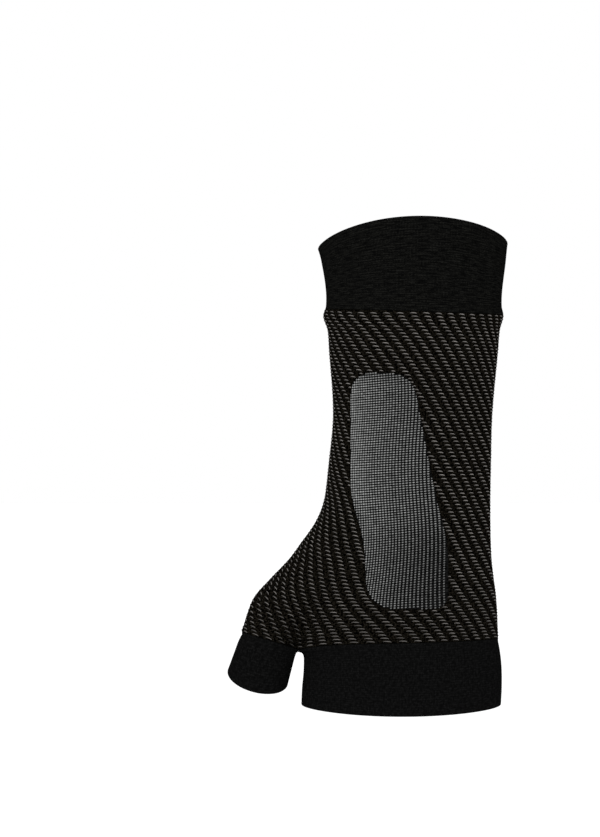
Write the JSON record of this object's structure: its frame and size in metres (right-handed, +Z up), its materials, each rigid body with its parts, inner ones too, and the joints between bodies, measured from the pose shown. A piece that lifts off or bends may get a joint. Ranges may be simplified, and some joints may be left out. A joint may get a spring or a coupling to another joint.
{
  "type": "wrist support sleeve",
  "caption": "Knitted wrist support sleeve in worn form: open forearm cuff, diagonally patterned body with a grey support panel, and open hand and thumb cuffs.",
  "frame": {"origin": "middle of the wrist, on the sleeve's axis", "axes": "+Z up the forearm, +X towards the little finger's side, -Y out of the back of the hand"},
  "size_m": [0.1207, 0.0695, 0.2104],
  "materials": {
    "plain_knit": "fine plain black knit, matt",
    "patterned_knit": "black knit with short warm grey dashes on a diagonal, matt",
    "panel_knit": "ribbed grey and black knit, matt"
  },
  "bodies": {
    "root": {"forearm_cuff": "plain_knit", "sleeve_body": "patterned_knit", "support_panel": "panel_knit", "hand_cuff": "plain_knit", "thumb_cuff": "plain_knit"}
  },
  "joints": []
}
